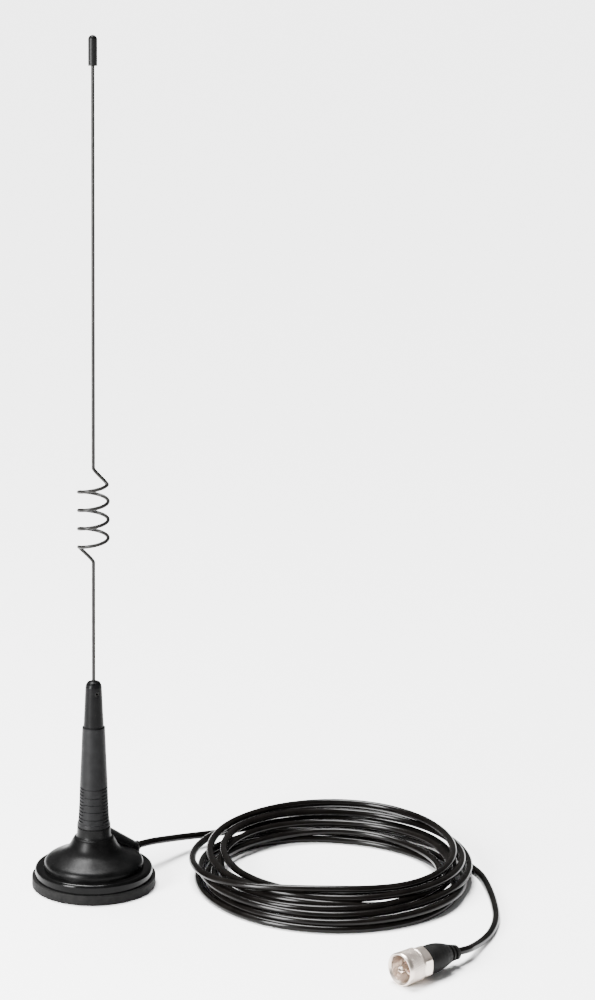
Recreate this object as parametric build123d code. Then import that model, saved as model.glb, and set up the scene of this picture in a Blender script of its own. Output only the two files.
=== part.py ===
from build123d import *
import os
from math import cos, pi, radians, sin, tan

# Magnet-mount whip antenna: a base-loaded mast with an open phasing coil in its whip, standing on a
# magnetic foot, with its coaxial lead coiled beside it and a screw-on plug on the lead's far end.
# Millimetres, +Z up along the mast, origin at the centre of the rubber boot's bottom face.

# Driving dimensions ---------------------------------------------------------------------------------
TOTAL_H = 508.0  # boot's bottom face to the tip, a nominal 20 inch antenna
FIT = 0.04  # radial clearance of a running fit

# magnetic foot
BOOT_R = 37.4
BOOT_H = 6.2
BOOT_FLOOR = 0.8
BOOT_ROUND = 0.9
BOOT_LIP_ROUND = 0.4
CUP_R = 35.5
CUP_TOP = 12.0
CUP_WALL = 1.6
CUP_PLATE = 2.4
CUP_ROUND = 1.9
MAGNET_R = 33.4
MAGNET_HOLE_R = 12.6
POLE_R = 11.6
SCREW_R = 1.5  # M3
SCREW_HEAD_R = 2.8
SCREW_TOP = 16.0
SCREW_CIRCLE_R = 24.0
SCREW_ANGLES = (90, 210, 330)
CROSS_RECESS = (2.6, 0.8, 1.6)  # length, width and twice the depth

# bell-shaped dome and its cable hood
DOME_R = 30.0
DOME_EDGE_TOP = 13.4
NECK_R = 10.1
NECK_TOP = 36.8
DOME_WAIST = ((27.0, 17.5), (20.5, 20.5), (14.9, 25.0), (11.7, 30.4))
CAVITY_R = 27.8
CAVITY_EDGE = 0.6
CAVITY_NECK_R = 8.2
CAVITY_TOP = 24.0
CAVITY_WAIST = ((25.2, 15.6), (18.4, 18.4), (12.4, 20.8))
BOSS_R = 3.0
BOSS_TOP = 17.6
HOOD_ANGLE = 43.8  # the lead leaves the foot to the back right
HOOD_R = 5.2
HOOD_TIP = (29.6, 15.1)  # radius and height of the hood's nose
HOOD_ROOT = (7.1, 30.7)

# cable and what holds it in the foot
CABLE_R = 2.2
CABLE_Z = 16.0
EXIT_R = 34.9
CABLE_BORE_R = 2.4
GROMMET_R = 2.9
GROMMET_BACK_R = 28.0
ENTRY_END_R = 8.0
PLATE_R = 20.0
PLATE_TOP = 13.8
CLAMP_RS = (9.0, 14.0)
CLAMP_THICK = 1.0
CLAMP_SCREW_OFF = 5.4
CLAMP_HALF_WIDTH = 7.8
SMALL_SCREW_R = 1.25  # M2.5
SLOT = (0.6, 1.2)  # width of a screw's slot, and twice its depth
CLAMP_HEAD = (1.9, 1.4)  # radius and height of a clamp screw's head
CLAMP_SCREW_BOTTOM = 9.8
CORE_R = 0.45
CORE_BEND_R = 1.0
CORE_RISE_R = 6.6  # where the core turns up, from the axis

# threaded socket in the dome's neck and the stud that screws into it
SOCKET_R = 6.5
SOCKET_BOTTOM = 21.5
SOCKET_FLOOR = 25.5
LUG_THICK = 0.6
LUG_R = 3.4
LUG_TAIL = (5.0, 2.6)  # length and width
LUG_HEAD = (2.3, 1.5)
LUG_HOLE_TOP = 24.7
STUD_R = 4.0  # M8
STUD_BOTTOM = 26.2
STUD_CHAMFER = 0.6
SEAL_T = 0.6
SEAL_RS = (5.2, 9.5)

# base-load housing
HOUSING_BOTTOM = NECK_TOP + SEAL_T
HOUSING_TOP = 100.0
HOUSING_TAPER = ((40.0, 9.45), (52.0, 8.75), (64.0, 8.38), (82.0, 7.56), (HOUSING_TOP - 0.6, 6.85))
HOUSING_TOP_R = 6.3
HOUSING_FOOT = ((9.9, HOUSING_BOTTOM), (10.1, HOUSING_BOTTOM + 0.3), (9.75, 39.8))
INSERT_R = 5.0
INSERT_TOP = 50.0
CHAMBER_R = 6.0
CHAMBER_TOP = 88.0
FORMER_R = 3.6
WINDING_R = 4.6
WINDING_ZS = (53.0, 85.0)
RING_GROOVES = (43.2, 61.9)
PANEL_GROOVES = (48.0, 52.4, 56.8)
PANEL_HALF_ANGLE = 36.0
GRIP_ZS = (40.6, 63.2)
GRIP_TEETH = 11
GRIP_DEEP = 0.7
GRIP_SHARE = 0.45  # of a tooth's pitch that is cut away
GRIP_HALF_ANGLE = 50.0
GROOVE_DEEP = 0.45
GROOVE_WIDE = 0.5

# ferrule, set screw and whip
FERRULE_TOP = 128.2
FERRULE_STEM_R = 3.0
FERRULE_STEM_Z = 90.0
WHIP_R = 1.05
WHIP_BOTTOM = 106.0
BORE_BOTTOM = 103.0
SET_SCREW_Z = 121.0
SET_SCREW_ANGLE = -60.0  # to the front right
SET_SCREW_REACH = (1.15, 4.55)
HEX_FLATS = 1.5
HEX_DEEP = 1.6
HELIX_R = 8.65
HELIX_PITCH = 11.06
HELIX_BOTTOM = 210.2
HELIX_TURNS = 3.5
HELIX_START_ANGLE = 173.4
HELIX_STEPS = 12  # straight runs to a turn
LEG_BOTTOM = 202.2
LEG_TOP = 257.1
CAP_R = 2.6
CAP_BOTTOM = 490.75
WHIP_TOP = 503.0

# coil of spare cable on the ground beside the foot
COIL_CENTRE = (145.0, 15.0)
COIL_OUT = 89.5
COIL_IN = 58.0
COIL_H = 20.5
COIL_ROUND = 8.0

# plug lying on its nut, drawn along its own axis from the cable end of its boot (0) to the nut's mouth
PLUG_START = (213.7, -115.8)
PLUG_ANGLE = 222.0
PLUG_BOOT_L = 26.9
PLUG_BOOT_R = 8.2
CABLE_DEPTH = 4.0  # how far the tail's tube runs into the boot
NUT_BACK = 27.2
NUT_MOUTH = 45.0
NUT_R = 9.5
NUT_WALL = 1.4
NUT_FLATS = 17.2
NUT_HEX_L = 5.6
THREAD_R = 7.55  # inside the 5/8 inch thread's crests
MOUTH_R = 8.6
BARREL_R = 5.6
BARREL_BACK = 14.0
FLANGE_R = 7.1
FLANGE_ZS = (28.8, 31.2)
SLEEVE_R = 6.0
SLEEVE_IN_R = 4.9
SLEEVE_FRONT = 36.0
SLEEVE_STEP = 30.4
INSULATOR_FRONT = 35.7
REDUCER_R = 3.9
REDUCER_FRONT = 24.0
PIN_R = 2.0
PIN_TIP = 44.6
PIN_STEM_R = 1.4
PIN_STEM_BACK = 25.0
PIN_BORE_R = 0.9
PIN_CHAMFER = 0.7
PIN_SLOT = (0.7, 3.0)  # width and depth
NOTCH = (1.2, 0.8)  # width and depth of the notches in the sleeve's rim

SET_DIRECTION = Vector(cos(radians(SET_SCREW_ANGLE)), sin(radians(SET_SCREW_ANGLE)), 0)
PLUG_AXIS = Vector(cos(radians(PLUG_ANGLE)), sin(radians(PLUG_ANGLE)), 0)
PLUG_ORIGIN = Vector(*PLUG_START, NUT_R)
PLUG_PLANE = Plane(origin=PLUG_ORIGIN, x_dir=(0, 0, 1), z_dir=PLUG_AXIS)


# Shared shapes --------------------------------------------------------------------------------------
def turned(*outline):
    """Solid of revolution about Z from the corners (radius, height) of half its section."""
    return revolve(make_face(Polyline(*[(r, 0, z) for r, z in outline], close=True)), Axis.Z)


def tube(outer, inner, bottom, top):
    """Round tube on the Z axis."""
    return turned((inner, bottom), (outer, bottom), (outer, top), (inner, top))


def rod(radius, bottom, top):
    """Round rod on the Z axis."""
    return Pos(0, 0, bottom) * Cylinder(radius, top - bottom, align=(Align.CENTER, Align.CENTER, Align.MIN))


def rod_between(start, end, radius):
    """Round rod from one point to another."""
    start, end = Vector(start), Vector(end)
    along = end - start
    stock = Cylinder(radius, along.length, align=(Align.CENTER, Align.CENTER, Align.MIN))
    return Plane(origin=start, z_dir=along) * stock


def radial(radius, height, angle=HOOD_ANGLE):
    """Point at that radius and height, on the side of the foot that the hood is on."""
    return (radius * cos(radians(angle)), radius * sin(radians(angle)), height)


def smooth_path(name, points):
    """Straight runs joined by the largest tangent arcs that they allow, one arc at each corner."""
    corners = [Vector(p) for p in points]
    radii = []
    for before, here, after in zip(corners, corners[1:], corners[2:]):
        turn = radians((here - before).get_angle(after - here))
        shorter = min((here - before).length, (after - here).length)
        radii.append(0.45 * shorter / tan(turn / 2))
    print(name, "radii", [round(r, 1) for r in radii])
    return FilletPolyline(*corners, radius=radii)


def round_along(name, points, radius):
    """Round wire or cable along a smooth path."""
    path = smooth_path(name, points)
    solid = sweep(Plane(origin=path @ 0, z_dir=path % 0) * Circle(radius), path=path)
    share = solid.volume / (pi * radius**2 * path.length)
    print(name, "length", round(path.length, 1), "volume ratio", round(share, 5))
    return solid


# Magnetic foot --------------------------------------------------------------------------------------
def magnet_boot():
    """Rubber boot: a thin floor under the magnet and a wall round the cup."""
    body = turned((0, 0), (BOOT_R, 0), (BOOT_R, BOOT_H), (CUP_R, BOOT_H), (CUP_R, BOOT_FLOOR), (0, BOOT_FLOOR))
    outer = body.edges().filter_by(GeomType.CIRCLE).sort_by(SortBy.RADIUS)[-2:]
    body = fillet(outer.sort_by(Axis.Z)[0], BOOT_ROUND)
    lip = body.edges().filter_by(GeomType.CIRCLE).group_by(Axis.Z)[-1].sort_by(SortBy.RADIUS)[-1]
    return fillet(lip, BOOT_LIP_ROUND)


def screw_hole(radius, bottom, top, places):
    """Upright round holes or shanks at those places."""
    return [Pos(x, y, 0) * rod(radius, bottom, top) for x, y in places]


def base_screw_places():
    return [radial(SCREW_CIRCLE_R, 0, a)[:2] for a in SCREW_ANGLES]


def clamp_screw_places():
    """The two clamp screws, one on each side of the cable."""
    middle = Vector(*radial(sum(CLAMP_RS) / 2, 0))
    across = Vector(*radial(CLAMP_SCREW_OFF, 0, HOOD_ANGLE + 90))
    return [tuple(middle + side * across)[:2] for side in (-1, 1)]


def magnet_cup():
    """Steel cup, open below, with countersunk holes for the dome's screws and tapped ones for the clamp."""
    under = CUP_TOP - CUP_PLATE
    inside = CUP_R - CUP_WALL
    body = turned(
        (0, under), (inside, under), (inside, BOOT_FLOOR), (CUP_R, BOOT_FLOOR), (CUP_R, CUP_TOP), (0, CUP_TOP)
    )
    body = fillet(body.edges().filter_by(GeomType.CIRCLE).group_by(Axis.Z)[-1], CUP_ROUND)
    for hole in screw_hole(SCREW_R, under, CUP_TOP, base_screw_places()):
        body -= hole
    for x, y in base_screw_places():
        body -= Pos(x, y, 0) * countersink(under)
    for hole in screw_hole(SMALL_SCREW_R, under, CUP_TOP, clamp_screw_places()):
        body -= hole
    return body


def countersink(bottom):
    """Countersunk head, wide face down."""
    top = bottom + SCREW_HEAD_R - SCREW_R
    return turned((0, bottom), (SCREW_HEAD_R, bottom), (SCREW_R, top), (0, top))


def ring_magnet():
    return tube(MAGNET_R, MAGNET_HOLE_R, BOOT_FLOOR, CUP_TOP - CUP_PLATE)


def pole_piece():
    return rod(POLE_R, BOOT_FLOOR, CUP_TOP - CUP_PLATE)


def base_screws():
    """Three countersunk screws, up through the cup into the dome's bosses."""
    bottom = CUP_TOP - CUP_PLATE
    length, width, deep = CROSS_RECESS
    screws = []
    for x, y in base_screw_places():
        screw = countersink(bottom) + rod(SCREW_R, bottom, SCREW_TOP)
        recess = Pos(0, 0, bottom) * (Box(width, length, deep) + Box(length, width, deep))
        screws.append(Pos(x, y, 0) * (screw - recess))
    return Compound(children=screws)


def dome_side(edge_r, edge_bottom, edge_top, neck_r, neck_top, waist):
    """Half section of a bell: an upright edge, a rounded shoulder and a hollow flare up to the neck."""
    start, end = (edge_r, 0, edge_top), (neck_r, 0, neck_top)
    flare = Spline(start, *[(r, 0, z) for r, z in waist], end, tangents=[(0, 0, 1), (0, 0, 1)])
    rest = Polyline(end, (0, 0, neck_top), (0, 0, edge_bottom), (edge_r, 0, edge_bottom), start)
    return revolve(make_face([flare, *rest.edges()]), Axis.Z)


def hood_hump():
    """Rounded hump that carries the cable out of the bell, with its foot on the cup."""
    (tip_r, tip_z), (root_r, root_z) = HOOD_TIP, HOOD_ROOT
    tip, root = radial(tip_r, tip_z), radial(root_r, root_z)
    hump = rod_between(root, tip, HOOD_R) + Pos(*tip) * Sphere(HOOD_R)
    hump += Pos(tip[0], tip[1], 0) * rod(HOOD_R, CUP_TOP, tip_z)
    side = Polyline((root_r, 0, CUP_TOP), (tip_r, 0, CUP_TOP), (tip_r, 0, tip_z), (root_r, 0, root_z), close=True)
    web = extrude(make_face(side), amount=HOOD_R, dir=(0, 1, 0), both=True)
    below = Pos(0, 0, CUP_TOP) * Cylinder(BOOT_R, CUP_TOP, align=(Align.CENTER, Align.CENTER, Align.MAX))
    return hump + Rot(0, 0, HOOD_ANGLE) * web - below


def base_dome():
    """Moulded plastic bell with the cable hood, three screw bosses and the socket's seat in its neck."""
    body = dome_side(DOME_R, CUP_TOP, DOME_EDGE_TOP, NECK_R, NECK_TOP, DOME_WAIST) + hood_hump()
    body -= dome_side(CAVITY_R, CUP_TOP, CUP_TOP + CAVITY_EDGE, CAVITY_NECK_R, CAVITY_TOP, CAVITY_WAIST)
    for boss in screw_hole(BOSS_R, CUP_TOP, BOSS_TOP, base_screw_places()):
        body += boss
    for hole in screw_hole(SCREW_R, CUP_TOP, SCREW_TOP, base_screw_places()):
        body -= hole
    body -= rod(SOCKET_R, SOCKET_BOTTOM, NECK_TOP)
    mouth = radial(EXIT_R + 1, CABLE_Z)
    body -= rod_between(radial(CLAMP_RS[0], CABLE_Z), mouth, CABLE_BORE_R)
    return body - rod_between(radial(GROMMET_BACK_R, CABLE_Z), mouth, GROMMET_R)


def ground_plate():
    """Plate that the cable's screen is clamped to, on the cup's top."""
    plate = rod(PLATE_R, CUP_TOP, PLATE_TOP)
    for hole in screw_hole(SMALL_SCREW_R, CUP_TOP, PLATE_TOP, clamp_screw_places()):
        plate -= hole
    return plate


def braid_clamp():
    """Saddle over the cable, with a flat ear on each side."""
    inner, outer = CLAMP_RS
    middle = radial((inner + outer) / 2, PLATE_TOP + CLAMP_THICK / 2)
    ears = Pos(*middle) * Rot(0, 0, HOOD_ANGLE) * Box(outer - inner, 2 * CLAMP_HALF_WIDTH, CLAMP_THICK)
    saddle = rod_between(radial(inner, CABLE_Z), radial(outer, CABLE_Z), CABLE_R + CLAMP_THICK)
    below = Pos(middle[0], middle[1], 0) * rod(2 * CLAMP_HALF_WIDTH, 0, PLATE_TOP)
    body = ears + (saddle - below)
    body -= rod_between(radial(inner - 1, CABLE_Z), radial(outer + 1, CABLE_Z), CABLE_R)
    upright = (Align.CENTER, Align.CENTER, Align.MIN)
    slot = Box(outer - inner + 2, 2 * CABLE_R, CABLE_Z - PLATE_TOP, align=upright)
    body -= Pos(middle[0], middle[1], PLATE_TOP) * Rot(0, 0, HOOD_ANGLE) * slot
    for hole in screw_hole(SMALL_SCREW_R, PLATE_TOP, PLATE_TOP + CLAMP_THICK, clamp_screw_places()):
        body -= hole
    return body


def clamp_screws():
    """Two slotted screws through the clamp and the plate into the cup."""
    seat = PLATE_TOP + CLAMP_THICK
    head_r, head_h = CLAMP_HEAD
    screw = rod(head_r, seat, seat + head_h) + rod(SMALL_SCREW_R, CLAMP_SCREW_BOTTOM, seat)
    screw -= Pos(0, 0, seat + head_h) * Box(SLOT[0], 2 * head_r, SLOT[1])
    return Compound(children=[Pos(x, y, 0) * screw for x, y in clamp_screw_places()])


def coax_entry():
    """The cable's own end inside the foot, from the hood's mouth to just past the clamp."""
    return rod_between(radial(ENTRY_END_R, CABLE_Z), radial(EXIT_R, CABLE_Z), CABLE_R)


def cable_grommet():
    """Rubber bush round the cable in the hood's mouth."""
    ends = radial(GROMMET_BACK_R, CABLE_Z), radial(EXIT_R, CABLE_Z)
    return rod_between(*ends, GROMMET_R) - rod_between(*ends, CABLE_R)


def mast_socket():
    """Brass socket in the neck: a blind threaded bore for the mast's stud, and a tapped hole below."""
    body = rod(SOCKET_R, SOCKET_BOTTOM, NECK_TOP)
    body -= rod(STUD_R + FIT, SOCKET_FLOOR, NECK_TOP)
    return body - rod(SMALL_SCREW_R, SOCKET_BOTTOM, LUG_HOLE_TOP)


def solder_lug():
    """Ring terminal under the socket, its tail towards the cable."""
    under = SOCKET_BOTTOM - LUG_THICK
    length, width = LUG_TAIL
    tail = Pos(*radial(length, under + LUG_THICK / 2)) * Rot(0, 0, HOOD_ANGLE) * Box(length, width, LUG_THICK)
    return rod(LUG_R, under, SOCKET_BOTTOM) + tail - rod(SMALL_SCREW_R, under, SOCKET_BOTTOM)


def lug_screw():
    """Slotted screw that holds the ring terminal under the socket."""
    seat = SOCKET_BOTTOM - LUG_THICK
    head_r, head_h = LUG_HEAD
    screw = rod(head_r, seat - head_h, seat) + rod(SMALL_SCREW_R, seat, LUG_HOLE_TOP)
    return screw - Pos(0, 0, seat - head_h) * Box(SLOT[0], 2 * head_r, SLOT[1])


def coax_core():
    """Bare centre conductor, from the cable's end up to the terminal's tail."""
    start, corner = radial(ENTRY_END_R, CABLE_Z), radial(CORE_RISE_R, CABLE_Z)
    end = radial(CORE_RISE_R, SOCKET_BOTTOM - LUG_THICK)
    path = FilletPolyline(start, corner, end, radius=CORE_BEND_R)
    return sweep(Plane(origin=path @ 0, z_dir=path % 0) * Circle(CORE_R), path=path)


# Mast -----------------------------------------------------------------------------------------------
def housing_seal():
    """Flat rubber washer between the dome's neck and the mast."""
    return tube(SEAL_RS[1], SEAL_RS[0], NECK_TOP, HOUSING_BOTTOM)


def groove(z, width, depth):
    """Ring that cuts a groove into the housing at that height."""
    radius = housing_radius(z)
    return tube(radius + 2, radius - depth, z - width / 2, z + width / 2)


def housing_radius(z):
    """The housing's outside radius at a height between its bottom ring and its top."""
    for (z0, r0), (z1, r1) in zip(HOUSING_TAPER, HOUSING_TAPER[1:]):
        if z <= z1:
            return r0 + (r1 - r0) * (z - z0) / (z1 - z0)
    raise ValueError(f"no housing at height {z}")


def wedge(angle, half_angle, reach=14.0):
    """Upright wedge from the axis, to keep a groove to one side of the mast."""
    left = (reach * cos(radians(angle - half_angle)), reach * sin(radians(angle - half_angle)))
    right = (reach * cos(radians(angle + half_angle)), reach * sin(radians(angle + half_angle)))
    face = make_face(Polyline((0, 0), left, right, close=True))
    return Pos(0, 0, HOUSING_BOTTOM) * extrude(face, amount=30)


def coil_housing():
    """Tapered plastic housing with a flared foot, fine grooves, and toothed grips on its two sides."""
    outside = [*HOUSING_FOOT, *[(r, z) for z, r in HOUSING_TAPER], (HOUSING_TOP_R, HOUSING_TOP)]
    body = turned(
        (INSERT_R, HOUSING_BOTTOM), *outside, (INSERT_R, HOUSING_TOP), (INSERT_R, CHAMBER_TOP),
        (CHAMBER_R, CHAMBER_TOP), (CHAMBER_R, INSERT_TOP), (INSERT_R, INSERT_TOP),
    )
    for z in RING_GROOVES:
        body -= groove(z, GROOVE_WIDE, GROOVE_DEEP)
    for angle in (-90, 90):
        for z in PANEL_GROOVES:
            body -= groove(z, GROOVE_WIDE, GROOVE_DEEP) & wedge(angle, PANEL_HALF_ANGLE)
    pitch = (GRIP_ZS[1] - GRIP_ZS[0]) / GRIP_TEETH
    for angle in (0, 180):
        for i in range(GRIP_TEETH):
            tooth = groove(GRIP_ZS[0] + (i + 0.5) * pitch, GRIP_SHARE * pitch, GRIP_DEEP)
            body -= tooth & wedge(angle, GRIP_HALF_ANGLE)
    return body


def mast_stud():
    """Threaded stud under the mast, its head moulded into the housing."""
    return turned(
        (0, STUD_BOTTOM), (STUD_R - STUD_CHAMFER, STUD_BOTTOM), (STUD_R, STUD_BOTTOM + STUD_CHAMFER),
        (STUD_R, HOUSING_BOTTOM), (INSERT_R, HOUSING_BOTTOM), (INSERT_R, INSERT_TOP), (0, INSERT_TOP),
    )


def coil_former():
    return rod(FORMER_R, INSERT_TOP, CHAMBER_TOP)


def loading_winding():
    """Close-wound enamelled wire, drawn as the sleeve that its turns make."""
    return tube(WINDING_R, FORMER_R, *WINDING_ZS)


def upper_insert():
    """Brass bush in the top of the housing that the ferrule screws into."""
    return tube(INSERT_R, FERRULE_STEM_R, CHAMBER_TOP, HOUSING_TOP)


def ferrule():
    """Tapered metal collar with the whip's bore, and a radial hole for the set screw."""
    body = turned(
        (0, FERRULE_STEM_Z), (FERRULE_STEM_R, FERRULE_STEM_Z), (FERRULE_STEM_R, HOUSING_TOP), (5.85, HOUSING_TOP),
        (6.1, HOUSING_TOP + 0.3), (5.66, 109.0), (4.95, 124.6), (4.55, 126.2), (3.7, 127.6),
        (2.4, FERRULE_TOP), (0, FERRULE_TOP),
    )
    body -= rod(WHIP_R + FIT, BORE_BOTTOM, FERRULE_TOP)
    centre = Vector(0, 0, SET_SCREW_Z)
    return body - rod_between(centre, centre + SET_DIRECTION * 2 * STUD_R, SCREW_R + FIT)


def set_screw():
    """Headless screw that clamps the whip, with a hex socket in its outer end."""
    inner, outer = (Vector(0, 0, SET_SCREW_Z) + SET_DIRECTION * reach for reach in SET_SCREW_REACH)
    body = rod_between(inner, outer, SCREW_R)
    socket = RegularPolygon(HEX_FLATS / 2, 6, major_radius=False)
    return body - Plane(origin=outer, z_dir=-SET_DIRECTION) * extrude(socket, amount=HEX_DEEP)


# Whip -----------------------------------------------------------------------------------------------
def helix_points():
    """Corners just outside the open coil's centreline, so that the arcs between them lie on it."""
    steps = round(HELIX_TURNS * HELIX_STEPS)
    reach = HELIX_R * 2 / (1 + cos(pi / HELIX_STEPS))
    points = []
    for i in range(steps + 1):
        share = i / steps
        height = HELIX_BOTTOM + share * HELIX_TURNS * HELIX_PITCH
        points.append(radial(reach, height, HELIX_START_ANGLE + share * 360 * HELIX_TURNS))
    return points


def whip_rod():
    """One spring-wire whip: straight, out to the open coil, round it, back to the axis and straight up."""
    points = [(0, 0, WHIP_BOTTOM), (0, 0, LEG_BOTTOM), *helix_points(), (0, 0, LEG_TOP), (0, 0, WHIP_TOP)]
    return round_along("whip_rod", points, WHIP_R)


def tip_cap():
    """Moulded cap with a round top, pressed on the whip's end."""
    body = rod(CAP_R, CAP_BOTTOM, TOTAL_H - CAP_R) + Pos(0, 0, TOTAL_H - CAP_R) * Sphere(CAP_R)
    return body - rod(WHIP_R, CAP_BOTTOM, WHIP_TOP)


# Coaxial lead ---------------------------------------------------------------------------------------
LEAD_ROUTE = [
    radial(EXIT_R, CABLE_Z),
    radial(43.0, CABLE_Z),
    (40.5, 41.5, 13.4),
    (51.0, 55.5, 10.0),
    (64.5, 67.5, 7.4),
    (80.0, 77.5, 6.2),
]
TAIL_ROUTE = [
    (229.6, 34.0, 2.6),
    (236.2, 20.0, 2.3),
    (239.4, 0.5, 2.2),
    (241.2, -24.0, 2.2),
    (241.2, -50.0, 2.2),
    (236.6, -72.0, 2.3),
    (230.0, -87.5, 3.0),
    (224.6, -99.5, 5.6),
    tuple(PLUG_ORIGIN - PLUG_AXIS * 8.0),
    tuple(PLUG_ORIGIN + PLUG_AXIS * CABLE_DEPTH),
]


def coax_coil():
    """Outer shape of the loose coil that the spare cable lies in."""
    bundle = tube(COIL_OUT, COIL_IN, 0, COIL_H)
    return Pos(*COIL_CENTRE, 0) * fillet(bundle.edges().filter_by(GeomType.CIRCLE), COIL_ROUND)


# Plug -----------------------------------------------------------------------------------------------
def plug_boot():
    """Tapered rubber boot with two relief grooves round its thin end."""
    body = turned(
        (0, 0), (3.4, 0), (4.3, 0.8), (4.6, 3.4), (3.9, 3.7), (3.9, 4.6), (4.9, 4.9), (5.2, 6.8), (4.4, 7.1),
        (4.4, 8.0), (5.7, 8.3), (7.4, 14.0), (PLUG_BOOT_R, 20.0), (PLUG_BOOT_R, PLUG_BOOT_L),
        (BARREL_R, PLUG_BOOT_L), (BARREL_R, BARREL_BACK), (0, BARREL_BACK),
    )
    return PLUG_PLANE * (body - rod(CABLE_R, 0, BARREL_BACK))


def plug_cable_end():
    """The cable's end inside the plug, from the boot's mouth through the reducer."""
    return PLUG_PLANE * rod(CABLE_R, CABLE_DEPTH, REDUCER_FRONT)


def plug_body():
    """Plated body: rear barrel, the flange that the nut pulls on, and the front sleeve with its notches."""
    flange_back, flange_front = FLANGE_ZS
    body = turned(
        (REDUCER_R, BARREL_BACK), (BARREL_R, BARREL_BACK), (BARREL_R, flange_back), (FLANGE_R, flange_back),
        (FLANGE_R, flange_front), (SLEEVE_R, flange_front), (SLEEVE_R, SLEEVE_FRONT),
        (SLEEVE_IN_R, SLEEVE_FRONT), (SLEEVE_IN_R, SLEEVE_STEP), (REDUCER_R, SLEEVE_STEP),
    )
    wide, deep = NOTCH
    for angle in range(0, 180, 45):
        body -= Pos(0, 0, SLEEVE_FRONT) * Rot(0, 0, angle) * Box(2 * FLANGE_R, wide, 2 * deep)
    return PLUG_PLANE * body


def plug_reducer():
    """Bush that takes the plug's bore down to the cable's size."""
    return PLUG_PLANE * tube(REDUCER_R, CABLE_R, BARREL_BACK, REDUCER_FRONT)


def plug_insulator():
    """Moulded disc that carries the centre pin."""
    return PLUG_PLANE * tube(SLEEVE_IN_R, PIN_STEM_R, SLEEVE_STEP, INSULATOR_FRONT)


def plug_pin():
    """Hollow centre pin, slotted at its tip."""
    body = turned(
        (0, PIN_STEM_BACK), (PIN_STEM_R, PIN_STEM_BACK), (PIN_STEM_R, INSULATOR_FRONT),
        (PIN_R, INSULATOR_FRONT), (PIN_R, PIN_TIP - PIN_CHAMFER), (PIN_R - PIN_CHAMFER, PIN_TIP), (0, PIN_TIP),
    )
    body -= rod(PIN_BORE_R, INSULATOR_FRONT + 1, PIN_TIP)
    wide, deep = PIN_SLOT
    return PLUG_PLANE * (body - Pos(0, 0, PIN_TIP) * Box(wide, 3 * PIN_R, 2 * deep))


def coupling_nut():
    """Screw-on nut, captive on the plug's body: a wide threaded mouth, and spanner flats at its back."""
    bore_r = BARREL_R + FIT
    body = turned(
        (bore_r, NUT_BACK), (NUT_R - 0.8, NUT_BACK), (NUT_R, NUT_BACK + 0.5), (NUT_R, NUT_MOUTH - 0.5),
        (NUT_R - 0.5, NUT_MOUTH), (MOUTH_R, NUT_MOUTH), (THREAD_R, NUT_MOUTH - 1.2),
        (THREAD_R, NUT_BACK + NUT_WALL), (bore_r, NUT_BACK + NUT_WALL),
    )
    flats = extrude(RegularPolygon(NUT_FLATS / 2, 6, major_radius=False), amount=NUT_HEX_L)
    stock = Cylinder(NUT_R + 1, NUT_HEX_L, align=(Align.CENTER, Align.CENTER, Align.MIN)) - flats
    return PLUG_PLANE * (body - Pos(0, 0, NUT_BACK) * stock)


NODES = {
    "magnet_boot": magnet_boot,
    "magnet_cup": magnet_cup,
    "ring_magnet": ring_magnet,
    "pole_piece": pole_piece,
    "base_screws": base_screws,
    "base_dome": base_dome,
    "ground_plate": ground_plate,
    "braid_clamp": braid_clamp,
    "clamp_screws": clamp_screws,
    "coax_entry": coax_entry,
    "coax_core": coax_core,
    "cable_grommet": cable_grommet,
    "mast_socket": mast_socket,
    "solder_lug": solder_lug,
    "lug_screw": lug_screw,
    "housing_seal": housing_seal,
    "coil_housing": coil_housing,
    "mast_stud": mast_stud,
    "coil_former": coil_former,
    "loading_winding": loading_winding,
    "upper_insert": upper_insert,
    "ferrule": ferrule,
    "set_screw": set_screw,
    "whip_rod": whip_rod,
    "tip_cap": tip_cap,
    "coax_lead": lambda: round_along("coax_lead", LEAD_ROUTE, CABLE_R),
    "coax_coil": coax_coil,
    "coax_tail": lambda: round_along("coax_tail", TAIL_ROUTE, CABLE_R),
    "plug_boot": plug_boot,
    "plug_cable_end": plug_cable_end,
    "plug_body": plug_body,
    "plug_reducer": plug_reducer,
    "plug_insulator": plug_insulator,
    "plug_pin": plug_pin,
    "coupling_nut": coupling_nut,
}

os.makedirs("parts", exist_ok=True)
for node, make in NODES.items():
    export_step(make(), f"parts/{node}.step")
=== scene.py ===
from math import ceil, cos, pi, radians, sin, tan, tau

import bmesh
import bpy
from mathutils import Matrix, Vector


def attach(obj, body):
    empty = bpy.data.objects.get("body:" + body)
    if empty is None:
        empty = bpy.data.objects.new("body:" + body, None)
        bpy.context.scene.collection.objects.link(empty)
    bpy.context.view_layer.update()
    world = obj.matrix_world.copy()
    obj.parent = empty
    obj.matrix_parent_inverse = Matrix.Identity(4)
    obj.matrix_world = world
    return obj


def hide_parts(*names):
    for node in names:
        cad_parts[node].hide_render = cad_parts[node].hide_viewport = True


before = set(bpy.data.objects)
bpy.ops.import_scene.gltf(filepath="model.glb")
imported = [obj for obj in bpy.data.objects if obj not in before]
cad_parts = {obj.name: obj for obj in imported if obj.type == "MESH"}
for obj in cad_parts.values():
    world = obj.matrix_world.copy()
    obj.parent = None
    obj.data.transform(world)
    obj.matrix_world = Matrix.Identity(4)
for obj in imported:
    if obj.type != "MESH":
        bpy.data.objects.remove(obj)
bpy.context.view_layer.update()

# Looks of a magnet-mount whip antenna with its coiled coaxial lead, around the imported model.
# Blender works in metres. The sizes below are in millimetres, as in the model, and MM turns them into metres.
MM = 0.001

# Camera, in front of the antenna and a little above its tip
CAMERA_AT = (119.74, -1491.0, 586.3)
CAMERA_DOWN = 0.2276  # radians below the horizon
CAMERA_ROLL = 0.0166
CAMERA_LENS = 93.95  # on a 36 mm sensor

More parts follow.
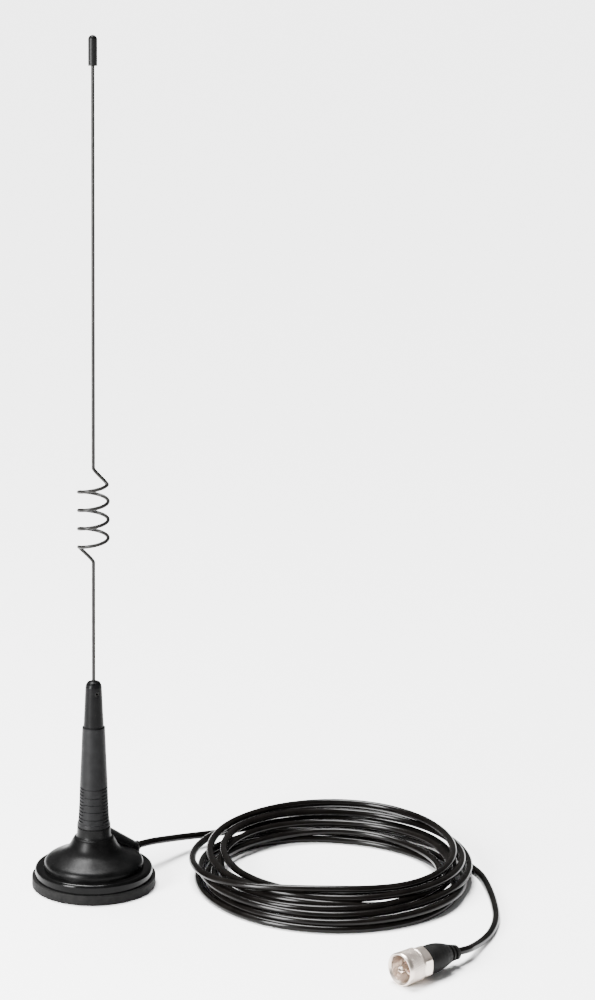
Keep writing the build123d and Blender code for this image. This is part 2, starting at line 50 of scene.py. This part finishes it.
# Cable, with the route's points as in the model
CABLE_R = 2.2
HOOD_ANGLE = 43.8
EXIT_R = 34.9
FIRST_RUN = 8.1
CABLE_Z = 16.0
LEAD = ((40.5, 41.5, 13.4), (51.0, 55.5, 10.0), (64.5, 67.5, 7.4), (80.0, 77.5, 6.2))
TAIL = (
    (229.6, 34.0, 2.6), (236.2, 20.0, 2.3), (239.4, 0.5, 2.2), (241.2, -24.0, 2.2),
    (241.2, -50.0, 2.2), (236.6, -72.0, 2.3), (230.0, -87.5, 2.9), (224.6, -99.5, 4.8),
)
LAST_RUNS = ((-8.0, -2.5), (4.0, -0.9))  # along the plug's axis from the boot's end, and up
COIL_CENTRE = (145.0, 15.0)
COIL_STEP = 20.0  # degrees from one point of a turn to the next
COIL_FIRST = 34.0  # degrees travelled, clockwise, at the coil's first and last points
COIL_LAST = 8 * 360 + 110.0
COIL_START = 140.0  # azimuth of 0 degrees travelled
STATION_STEP = 60.0
# Radius and height of the cable's centre as each turn passes 140, 80, 20, -40, -100 and -160 degrees.
# The lead's end stands in for the first turn's first pair.
COIL_TURNS = (
    ((90.2, 6.2), (84.5, 8.0), (76.5, 9.4), (70.5, 6.4), (72.5, 12.5), (68.5, 9.0)),
    ((69.0, 11.4), (66.0, 11.6), (69.5, 12.6), (73.5, 11.0), (77.3, 10.7), (74.5, 7.8)),
    ((65.5, 5.9), (62.0, 7.6), (64.0, 6.8), (66.5, 11.6), (62.6, 14.2), (63.0, 13.8)),
    ((74.0, 16.0), (80.0, 14.2), (80.5, 14.0), (75.0, 14.8), (68.2, 14.2), (72.8, 14.8)),
    ((80.0, 17.4), (85.5, 18.8), (76.0, 18.3), (69.5, 16.8), (66.2, 18.9), (84.8, 13.6)),
    ((85.0, 11.5), (88.0, 13.7), (85.0, 10.0), (80.5, 9.4), (81.4, 8.6), (81.5, 9.8)),
    ((76.0, 6.9), (67.5, 3.8), (75.0, 2.6), (85.0, 6.8), (85.6, 5.6), (79.0, 4.4)),
    ((70.5, 2.3), (60.0, 2.3), (66.0, 2.2), (83.5, 2.2), (87.6, 2.3), (83.4, 2.2)),
    ((80.5, 2.3), (80.5, 2.3), (85.7, 2.4)),
)

# Plug, drawn along its own axis from the cable end of its boot (0) to the nut's mouth
PLUG_START = (213.7, -115.8, 9.5)
PLUG_ANGLE = 222.0
BOOT_DROOP = 1.5  # how far the boot's thin end sags under the cable
BOOT_BENDS_TO = 16.0
BOOT_STEP = 0.15
BOOT_OUTLINE = (
    (0.0, 3.0), (0.2, 3.6), (0.8, 4.3), (3.4, 4.6), (4.9, 4.9), (6.8, 5.2), (8.3, 5.7), (11.0, 6.6),
    (14.0, 7.4), (17.0, 7.95), (20.0, 8.2), (26.4, 8.2), (26.8, 8.0), (26.9, 7.7),
)
BOOT_BORE = ((26.9, 5.65), (14.0, 5.65), (14.0, 2.3), (0.0, 2.3))
BOOT_GROOVES = ((4.15, 1.7), (7.55, 1.9))  # place along the boot, and depth
GROOVE_HALF_WIDTH = 0.95
NUT_BACK = 27.2
NUT_HEX_END = 32.8
NUT_SHOULDER = 32.82  # the round part starts here
NUT_FULL_FROM = 27.7
NUT_BEVEL_FROM = 44.4
NUT_MOUTH = 45.0
NUT_R = 9.5
NUT_OUTLINE = ((NUT_BACK, 8.7), (NUT_FULL_FROM, NUT_R), (NUT_BEVEL_FROM, NUT_R), (NUT_MOUTH, 9.0))
NUT_HALF_FLATS = 8.6
NUT_BORE = 5.64
NUT_INNER_WALL = 28.6
THREAD_FROM = 29.6
THREAD_TO = 43.8
THREAD_R = 7.55
THREAD_DEEP = 0.25
THREAD_PITCH = 25.4 / 24  # 5/8-24 thread
MOUTH_TAPER = ((THREAD_TO, THREAD_R), (NUT_MOUTH, 8.6))
KNURL_FROM = 33.7
KNURL_TO = 42.4
KNURL_ROWS = 60
KNURL_DEEP = 0.28
KNURL_SLOPE = 30.0  # degrees between a groove and the nut's axis
KNURL_STEP = tau * NUT_R / KNURL_ROWS / tan(radians(KNURL_SLOPE))  # from crossing to crossing, along the nut
AROUND = 6 * KNURL_ROWS  # points round the nut, six to a groove
EDGE = 0.05  # the ends of the knurling and of the thread are drawn that long

# Mast's stud, and the whip
STUD_BOTTOM = 26.2
STUD_R = 4.0
STUD_PITCH = 1.25
STUD_DEEP = 0.6
STUD_CHAMFER = 0.6
STUD_AROUND = 90
STUD_NECK = 0.5  # plain length above the thread
HOUSING_BOTTOM = 37.4
INSERT_R = 5.0
INSERT_TOP = 50.0
WHIP_R = 1.05
WHIP_BOTTOM = 106.0
WHIP_TOP = 503.0
LEG_BOTTOM = 202.2
LEG_TOP = 257.1
HELIX_R = 8.65
HELIX_PITCH = 11.06
HELIX_BOTTOM = 210.2
HELIX_TURNS = 3.5
HELIX_START_ANGLE = 173.4
HELIX_POINTS = 20  # to a turn
WHIP_EASE = 2.0  # from a straight's end to the control point before it


# Shared shapes --------------------------------------------------------------------------------------
def around_z(radius, degrees, z):
    """Point at that radius, azimuth and height, in the units it is given."""
    return Vector((radius * cos(radians(degrees)), radius * sin(radians(degrees)), z))


def ring(radius, z, count):
    """Level ring of evenly spaced points, in the units it is given."""
    return [around_z(radius, 360 * i / count, z) for i in range(count)]


def wave(phase):
    """Triangle wave from 0 to 1 and back as the phase goes up by 1."""
    return 1 - abs(2 * (phase % 1.0) - 1)


def between(outline, place):
    """The outline's second value at that place, from its pairs (place, value) in rising order."""
    for (a, low), (b, high) in zip(outline, outline[1:]):
        if place <= b:
            return low + (high - low) * (place - a) / (b - a)
    return outline[-1][1]


def steps(start, end, longest):
    """Evenly spaced values from start to end, no further apart than that."""
    count = max(1, ceil(abs(end - start) / longest))
    return [start + (end - start) * i / count for i in range(count + 1)]


def skin(name, rings, loop):
    """Mesh of quads between rings of points in mm. A loop joins its last ring to its first, and other
    skins are capped."""
    around = len(rings[0])
    pairs = [(i, i + 1) for i in range(len(rings) - 1)]
    if loop:
        pairs.append((len(rings) - 1, 0))
    faces = []
    for a, b in pairs:
        for i in range(around):
            j = (i + 1) % around
            faces.append((a * around + i, a * around + j, b * around + j, b * around + i))
    if not loop:
        faces.append(tuple(range(around)))
        faces.append(tuple(range((len(rings) - 1) * around, len(rings) * around)))
    mesh = bpy.data.meshes.new(name)
    mesh.from_pydata([point * MM for points in rings for point in points], [], faces)
    work = bmesh.new()
    work.from_mesh(mesh)
    bmesh.ops.recalc_face_normals(work, faces=work.faces)
    work.to_mesh(mesh)
    work.free()
    mesh.shade_smooth()
    mesh.set_sharp_from_angle(angle=radians(40))
    piece = bpy.data.objects.new(name, mesh)
    bpy.context.collection.objects.link(piece)
    return piece


def smooth_line(name, points, radius, points_between):
    """Round wire or cable along a smooth NURBS line, with the points in mm as its control points."""
    curve = bpy.data.curves.new(name, "CURVE")
    curve.dimensions = "3D"
    curve.bevel_depth = radius * MM
    curve.bevel_resolution = 6
    curve.use_fill_caps = True
    curve.resolution_u = points_between
    line = curve.splines.new("NURBS")
    line.points.add(len(points) - 1)
    for control, point in zip(line.points, points):
        control.co = (*(point * MM), 1.0)
    line.order_u = 3
    line.use_endpoint_u = True
    piece = bpy.data.objects.new(name, curve)
    bpy.context.collection.objects.link(piece)
    return piece


# Camera, floor and light ----------------------------------------------------------------------------
def make_camera():
    camera = bpy.data.objects.new("camera", bpy.data.cameras.new("camera"))
    camera.data.sensor_width = 36
    camera.data.lens = CAMERA_LENS
    tilt = Matrix.Rotation(pi / 2 - CAMERA_DOWN, 4, "X") @ Matrix.Rotation(CAMERA_ROLL, 4, "Z")
    camera.matrix_world = Matrix.Translation(Vector(CAMERA_AT) * MM) @ tilt
    bpy.context.collection.objects.link(camera)
    bpy.context.scene.camera = camera


def soft_light(name, at, towards, size, watts):
    """Rectangular area light turned towards a point, with its places and size in metres."""
    light = bpy.data.objects.new(name, bpy.data.lights.new(name, "AREA"))
    light.data.shape = "RECTANGLE"
    light.data.size, light.data.size_y = size
    light.data.energy = watts
    light.location = at
    light.rotation_euler = (Vector(at) - Vector(towards)).to_track_quat("Z", "Y").to_euler()
    bpy.context.collection.objects.link(light)


def make_studio():
    """Wide pale floor, dim surroundings, a broad light from above and a tall soft light at the left."""
    half = 200.0
    mesh = bpy.data.meshes.new("floor")
    corners = [(-half, -half, 0), (half, -half, 0), (half, half, 0), (-half, half, 0)]
    mesh.from_pydata(corners, [], [(0, 1, 2, 3)])
    floor = bpy.data.objects.new("floor", mesh)
    bpy.context.collection.objects.link(floor)
    pale = bpy.data.materials.new("floor")
    pale.use_nodes = True
    shader = pale.node_tree.nodes["Principled BSDF"]
    shader.inputs["Base Color"].default_value = (0.92, 0.92, 0.92, 1)
    shader.inputs["Roughness"].default_value = 0.9
    shader.inputs["Specular IOR Level"].default_value = 0.1
    mesh.materials.append(pale)

    world = bpy.data.worlds.new("studio")
    world.use_nodes = True
    background = world.node_tree.nodes["Background"]
    background.inputs["Color"].default_value = (1, 1, 1, 1)
    background.inputs["Strength"].default_value = 0.25
    bpy.context.scene.world = world

    sky = bpy.data.objects.new("sky", bpy.data.lights.new("sky", "SUN"))
    sky.data.energy = 15.0
    sky.data.angle = radians(30)
    sky.rotation_euler = (radians(-14), radians(-10), 0)
    bpy.context.collection.objects.link(sky)
    soft_light("key", at=(-0.95, -0.95, 0.52), towards=(0, 0, 0.12), size=(0.45, 1.0), watts=130)


# Finishes -------------------------------------------------------------------------------------------
def finish(
    name, dark, light, mottle, roughness, grain, ripple,
    metallic=0.0, coat=0.0, stretch=(1, 1, 1), specular=0.5,
):
    """Material that varies between two colours in patches mottle mm wide, and between two roughnesses.
    grain and ripple are bumps, each a width and a depth in mm. stretch draws the bumps out into lines."""
    made = bpy.data.materials.new(name)
    made.use_nodes = True
    nodes, links = made.node_tree.nodes, made.node_tree.links
    shader = nodes["Principled BSDF"]
    shader.inputs["Metallic"].default_value = metallic
    shader.inputs["Specular IOR Level"].default_value = specular
    shader.inputs["Coat Weight"].default_value = coat
    shader.inputs["Coat Roughness"].default_value = 0.12
    place = nodes.new("ShaderNodeTexCoord").outputs["Object"]
    lines = nodes.new("ShaderNodeMapping")
    lines.inputs["Scale"].default_value = stretch
    links.new(place, lines.inputs["Vector"])

    def noise(width, detail, source):
        texture = nodes.new("ShaderNodeTexNoise")
        texture.inputs["Scale"].default_value = 1 / (width * MM)
        texture.inputs["Detail"].default_value = detail
        links.new(source, texture.inputs["Vector"])
        return texture.outputs["Fac"]

    patches = nodes.new("ShaderNodeValToRGB")
    patches.color_ramp.elements[0].position = 0.35
    patches.color_ramp.elements[0].color = (*dark, 1)
    patches.color_ramp.elements[1].position = 0.68
    patches.color_ramp.elements[1].color = (*light, 1)
    links.new(noise(mottle, 5.0, place), patches.inputs["Fac"])
    links.new(patches.outputs["Color"], shader.inputs["Base Color"])

    polish = nodes.new("ShaderNodeMapRange")
    polish.inputs["From Min"].default_value = 0.3
    polish.inputs["From Max"].default_value = 0.7
    polish.inputs["To Min"].default_value, polish.inputs["To Max"].default_value = roughness
    links.new(noise(mottle / 3, 3.0, lines.outputs["Vector"]), polish.inputs["Value"])
    links.new(polish.outputs["Result"], shader.inputs["Roughness"])

    normal = None
    for width, depth in (ripple, grain):
        bump = nodes.new("ShaderNodeBump")
        bump.inputs["Distance"].default_value = depth * MM
        links.new(noise(width, 2.0, lines.outputs["Vector"]), bump.inputs["Height"])
        if normal:
            links.new(normal, bump.inputs["Normal"])
        normal = bump.outputs["Normal"]
    links.new(normal, shader.inputs["Normal"])
    return made


# Every material slot's look, by the slot's name in the record
TURNED = (0.02, 0.02, 1.0)  # marks in rings, as a lathe leaves them
DRAWN = (1.0, 1.0, 0.02)  # marks along the mast
FINISHES = {
    "boot_rubber": dict(
        dark=(0.002, 0.002, 0.002), light=(0.005, 0.0049, 0.0047), mottle=3.0, roughness=(0.55, 0.75),
        grain=(0.25, 0.02), ripple=(3.0, 0.04), specular=0.07,
    ),
    "cup_paint": dict(
        dark=(0.001, 0.001, 0.001), light=(0.002, 0.002, 0.002), mottle=9.0, roughness=(0.14, 0.18),
        grain=(0.8, 0.0002), ripple=(6.0, 0.0004), specular=0.07,
    ),
    "ferrite": dict(
        dark=(0.025, 0.025, 0.028), light=(0.06, 0.06, 0.062), mottle=1.5, roughness=(0.6, 0.85),
        grain=(0.15, 0.02), ripple=(2.0, 0.04),
    ),
    "bare_steel": dict(
        dark=(0.42, 0.42, 0.43), light=(0.60, 0.60, 0.60), mottle=5.0, roughness=(0.25, 0.45),
        grain=(0.2, 0.006), ripple=(1.5, 0.01), metallic=1.0, stretch=TURNED,
    ),
    "dome_plastic": dict(
        dark=(0.001, 0.001, 0.001), light=(0.0025, 0.0025, 0.0025), mottle=6.0, roughness=(0.31, 0.38),
        grain=(0.35, 0.004), ripple=(5.0, 0.006), specular=0.055,
    ),
    "housing_plastic": dict(
        dark=(0.002, 0.002, 0.0022), light=(0.004, 0.004, 0.0043), mottle=4.0, roughness=(0.38, 0.50),
        grain=(0.22, 0.015), ripple=(3.5, 0.015), specular=0.08,
    ),
    "brass": dict(
        dark=(0.58, 0.36, 0.12), light=(0.78, 0.54, 0.22), mottle=4.0, roughness=(0.22, 0.42),
        grain=(0.2, 0.008), ripple=(1.2, 0.012), metallic=1.0, stretch=TURNED,
    ),
    "former_plastic": dict(
        dark=(0.52, 0.50, 0.44), light=(0.66, 0.64, 0.58), mottle=5.0, roughness=(0.45, 0.6),
        grain=(0.3, 0.012), ripple=(3.0, 0.02),
    ),
    "enamelled_wire": dict(
        dark=(0.28, 0.07, 0.02), light=(0.50, 0.15, 0.04), mottle=2.0, roughness=(0.18, 0.32),
        grain=(0.2, 0.004), ripple=(0.45, 0.10), metallic=0.7, coat=0.5, stretch=TURNED,
    ),
    "black_chrome": dict(
        dark=(0.0012, 0.0012, 0.0013), light=(0.0025, 0.0025, 0.0026), mottle=5.0,
        roughness=(0.30, 0.36), grain=(0.3, 0.0005), ripple=(2.0, 0.001), specular=0.05,
    ),
    "black_steel": dict(
        dark=(0.004, 0.0038, 0.0036), light=(0.009, 0.0085, 0.008), mottle=3.0, roughness=(0.28, 0.40),
        grain=(0.15, 0.002), ripple=(0.8, 0.003), stretch=DRAWN, specular=0.12,
    ),
    "cap_plastic": dict(
        dark=(0.0015, 0.0015, 0.0015), light=(0.003, 0.003, 0.003), mottle=2.0, roughness=(0.34, 0.48),
        grain=(0.2, 0.01), ripple=(1.5, 0.015), specular=0.08,
    ),
    "cable_pvc": dict(
        dark=(0.0012, 0.001, 0.0009), light=(0.003, 0.0026, 0.0023), mottle=12.0,
        roughness=(0.15, 0.22), grain=(0.4, 0.002), ripple=(9.0, 0.005), specular=0.10,
    ),
    "plug_rubber": dict(
        dark=(0.002, 0.002, 0.002), light=(0.005, 0.0048, 0.0046), mottle=3.0, roughness=(0.50, 0.68),
        grain=(0.25, 0.02), ripple=(2.0, 0.03), specular=0.08,
    ),
    "nickel": dict(
        dark=(0.60, 0.52, 0.46), light=(0.70, 0.62, 0.55), mottle=5.0, roughness=(0.28, 0.36),
        grain=(0.12, 0.004), ripple=(1.2, 0.01), metallic=1.0,
    ),
    "phenolic": dict(
        dark=(0.045, 0.012, 0.006), light=(0.11, 0.032, 0.015), mottle=0.8, roughness=(0.35, 0.5),
        grain=(0.15, 0.01), ripple=(1.0, 0.02), specular=0.25,
    ),
    "copper": dict(
        dark=(0.62, 0.24, 0.12), light=(0.85, 0.42, 0.26), mottle=2.0, roughness=(0.22, 0.4),
        grain=(0.12, 0.006), ripple=(0.8, 0.01), metallic=1.0,
    ),
}
finishes = {slot: finish(slot, **look) for slot, look in FINISHES.items()}

# The slot of each of the model's own pieces that no new piece stands in for
NODE_FINISHES = {
    "magnet_boot": "boot_rubber",
    "magnet_cup": "cup_paint",
    "ring_magnet": "ferrite",
    "pole_piece": "bare_steel",
    "base_screws": "bare_steel",
    "base_dome": "dome_plastic",
    "ground_plate": "brass",
    "braid_clamp": "bare_steel",
    "clamp_screws": "bare_steel",
    "coax_entry": "cable_pvc",
    "coax_core": "copper",
    "cable_grommet": "boot_rubber",
    "mast_socket": "brass",
    "solder_lug": "brass",
    "lug_screw": "bare_steel",
    "housing_seal": "boot_rubber",
    "coil_housing": "housing_plastic",
    "coil_former": "former_plastic",
    "loading_winding": "enamelled_wire",
    "upper_insert": "brass",
    "ferrule": "black_chrome",
    "set_screw": "black_steel",
    "tip_cap": "cap_plastic",
    "plug_cable_end": "cable_pvc",
    "plug_body": "nickel",
    "plug_reducer": "nickel",
    "plug_insulator": "phenolic",
    "plug_pin": "nickel",
}


def finish_piece(piece, slot):
    """Gives a new piece that slot's finish."""
    piece.data.materials.append(finishes[slot])


def finish_nodes():
    """Gives the model's own pieces their finishes."""
    for node, slot in NODE_FINISHES.items():
        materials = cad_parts[node].data.materials
        materials.clear()
        materials.append(finishes[slot])


# Cable ----------------------------------------------------------------------------------------------
def catmull_rom(points, at):
    """Value on a smooth line through the points, where at counts points from the first."""
    i = min(int(at), len(points) - 2)
    t = at - i
    p0, p1, p2, p3 = (points[min(max(k, 0), len(points) - 1)] for k in (i - 1, i, i + 1, i + 2))
    return p1 + 0.5 * t * (p2 - p0 + t * (2 * p0 - 5 * p1 + 4 * p2 - p3 + t * (3 * (p1 - p2) + p3 - p0)))


def coil_points():
    """Loose turns of the cable, clockwise, fanned out where nothing ties them."""
    stations = [Vector(pair) for turn in COIL_TURNS for pair in turn]
    outwards = 1 / cos(radians(COIL_STEP / 2))  # the line runs inside its control points
    points = []
    for travelled in steps(COIL_FIRST, COIL_LAST, COIL_STEP):
        radius, height = catmull_rom(stations, travelled / STATION_STEP)
        point = around_z(radius * outwards, COIL_START - travelled, max(height, CABLE_R))
        points.append(point + Vector((*COIL_CENTRE, 0)))
    return points


def make_cable():
    """The whole lead: out of the hood, through the coil and into the plug's boot."""
    plug_axis = around_z(1, PLUG_ANGLE, 0)
    points = [around_z(radius, HOOD_ANGLE, CABLE_Z) for radius in (EXIT_R, EXIT_R + FIRST_RUN)]
    points += [Vector(point) for point in LEAD]
    points += coil_points()
    points += [Vector(point) for point in TAIL]
    points += [Vector(PLUG_START) + plug_axis * along + Vector((0, 0, up)) for along, up in LAST_RUNS]
    cable = smooth_line("cable", points, CABLE_R, 8)
    finish_piece(cable, "cable_pvc")
    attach(cable, "base")
    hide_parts("coax_lead", "coax_coil", "coax_tail")
    return cable


# Whip and stud --------------------------------------------------------------------------------------
def make_whip():
    """One wire: straight, out to the open coil, round it, back to the axis and straight up."""
    reach = HELIX_R / cos(pi / HELIX_POINTS)  # the line runs inside its control points
    lower = [Vector((0, 0, z)) for z in (WHIP_BOTTOM, LEG_BOTTOM - WHIP_EASE, LEG_BOTTOM)]
    upper = [Vector((0, 0, z)) for z in (LEG_TOP, LEG_TOP + WHIP_EASE, WHIP_TOP)]
    helix = []
    for i in range(round(HELIX_TURNS * HELIX_POINTS) + 1):
        turns = i / HELIX_POINTS
        helix.append(around_z(reach, HELIX_START_ANGLE + 360 * turns, HELIX_BOTTOM + turns * HELIX_PITCH))
    whip = smooth_line("whip_wire", [*lower, *helix, *upper], WHIP_R, 6)
    finish_piece(whip, "black_steel")
    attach(whip, "whip")
    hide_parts("whip_rod")


def stud_radius(z, degrees):
    """The stud's radius on its thread, with a chamfered lower end."""
    threaded = STUD_R - STUD_DEEP * wave(z / STUD_PITCH - degrees / 360)
    return min(threaded, STUD_R - STUD_CHAMFER + z - STUD_BOTTOM)


def make_stud():
    """Stud with its thread cut, which shows when the mast is unscrewed."""
    thread_top = HOUSING_BOTTOM - STUD_NECK
    root = STUD_R - STUD_DEEP
    turn = [360 * i / STUD_AROUND for i in range(STUD_AROUND)]
    rings = [
        [around_z(stud_radius(z, degrees), degrees, z) for degrees in turn]
        for z in steps(STUD_BOTTOM, thread_top, STUD_PITCH / 8)
    ]
    rings += [ring(root, z, STUD_AROUND) for z in (thread_top + 0.1, HOUSING_BOTTOM)]
    rings += [ring(INSERT_R, z, STUD_AROUND) for z in (HOUSING_BOTTOM, INSERT_TOP)]
    stud = skin("threaded_stud", rings, loop=False)
    finish_piece(stud, "brass")
    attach(stud, "mast")
    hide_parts("mast_stud")


# Plug -----------------------------------------------------------------------------------------------
def along_plug(piece):
    """Turns a piece drawn along +Z onto the plug's axis, with its +X up."""
    axis = around_z(1, PLUG_ANGLE, 0)
    up = Vector((0, 0, 1))
    turn = Matrix((up, axis.cross(up), axis)).transposed().to_4x4()
    piece.matrix_world = Matrix.Translation(Vector(PLUG_START) * MM) @ turn
    return piece


def groove_depth(place, degrees):
    """Depth of the boot's relief grooves there. They are broken at the top and at the bottom."""
    broken = min(1.0, 4 * max(0.0, abs(sin(radians(degrees))) - 0.25))
    return broken * max(
        deep * max(0.0, 1 - ((place - centre) / GROOVE_HALF_WIDTH) ** 4) for centre, deep in BOOT_GROOVES
    )


def make_boot():
    """Rubber boot that sags a little under the cable, with two broken relief grooves round its thin end."""
    places = steps(BOOT_OUTLINE[0][0], BOOT_OUTLINE[-1][0], BOOT_STEP)
    outline = [(place, between(BOOT_OUTLINE, place)) for place in places]
    rings = []
    for place, radius in (*outline, *BOOT_BORE):
        sag = Vector((BOOT_DROOP * max(0.0, 1 - place / BOOT_BENDS_TO) ** 2, 0, 0))
        points = []
        for degrees in range(0, 360, 3):
            points.append(around_z(radius - groove_depth(place, degrees), degrees, place) - sag)
        rings.append(points)
    boot = along_plug(skin("relief_boot", rings, loop=True))
    finish_piece(boot, "plug_rubber")
    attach(boot, "base")
    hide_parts("plug_boot")
    return boot


def nut_outside(place, degrees):
    """The nut's outer radius: spanner flats at the back, then a band of diamond knurling."""
    radius = between(NUT_OUTLINE, place)
    if place <= NUT_HEX_END:
        from_flat = 30 - abs((degrees + 30) % 60 - 30)  # corners are every 60 degrees, from 0
        return min(radius, NUT_HALF_FLATS / cos(radians(from_flat)))
    if KNURL_FROM < place < KNURL_TO:
        rows = degrees / 360 * KNURL_ROWS
        rise = (place - KNURL_FROM) / KNURL_STEP
        return radius - KNURL_DEEP * max(wave(rows + rise), wave(rows - rise))
    return radius


def nut_inside(place, degrees):
    """The nut's inner radius: a tapered mouth, then its thread, down to the back wall."""
    smooth = between(MOUTH_TAPER, max(place, THREAD_TO))
    if THREAD_FROM <= place <= THREAD_TO:
        return smooth + THREAD_DEEP * wave((place + THREAD_PITCH * degrees / 360) / THREAD_PITCH)
    return smooth


def make_nut():
    """Screw-on nut with its knurling, spanner flats and thread cut in the mesh.
    The rings between its corners keep the shading even."""
    outside = [
        NUT_BACK, 27.4, NUT_FULL_FROM, 28.0, 30.0, NUT_HEX_END, NUT_SHOULDER, KNURL_FROM,
        *steps(KNURL_FROM + KNURL_STEP / 6, KNURL_TO - EDGE, KNURL_STEP / 6), KNURL_TO,
        43.4, NUT_BEVEL_FROM, 44.8, NUT_MOUTH,
    ]
    inside = [
        NUT_MOUTH, NUT_BEVEL_FROM, THREAD_TO, *steps(THREAD_TO - EDGE, THREAD_FROM, THREAD_PITCH / 6),
        THREAD_FROM - EDGE, NUT_INNER_WALL,
    ]
    turn = [360 * i / AROUND for i in range(AROUND)]
    rings = [[around_z(nut_outside(place, degrees), degrees, place) for degrees in turn] for place in outside]
    rings += [[around_z(nut_inside(place, degrees), degrees, place) for degrees in turn] for place in inside]
    rings += [ring(NUT_BORE, place, AROUND) for place in (NUT_INNER_WALL, NUT_BACK)]
    nut = along_plug(skin("knurled_nut", rings, loop=True))
    finish_piece(nut, "nickel")
    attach(nut, "coupling_nut")
    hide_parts("coupling_nut")
    return nut


# The scene ------------------------------------------------------------------------------------------
make_camera()
make_studio()
cable = make_cable()
plug_pieces = [make_boot(), make_nut()]
make_whip()
make_stud()
finish_nodes()
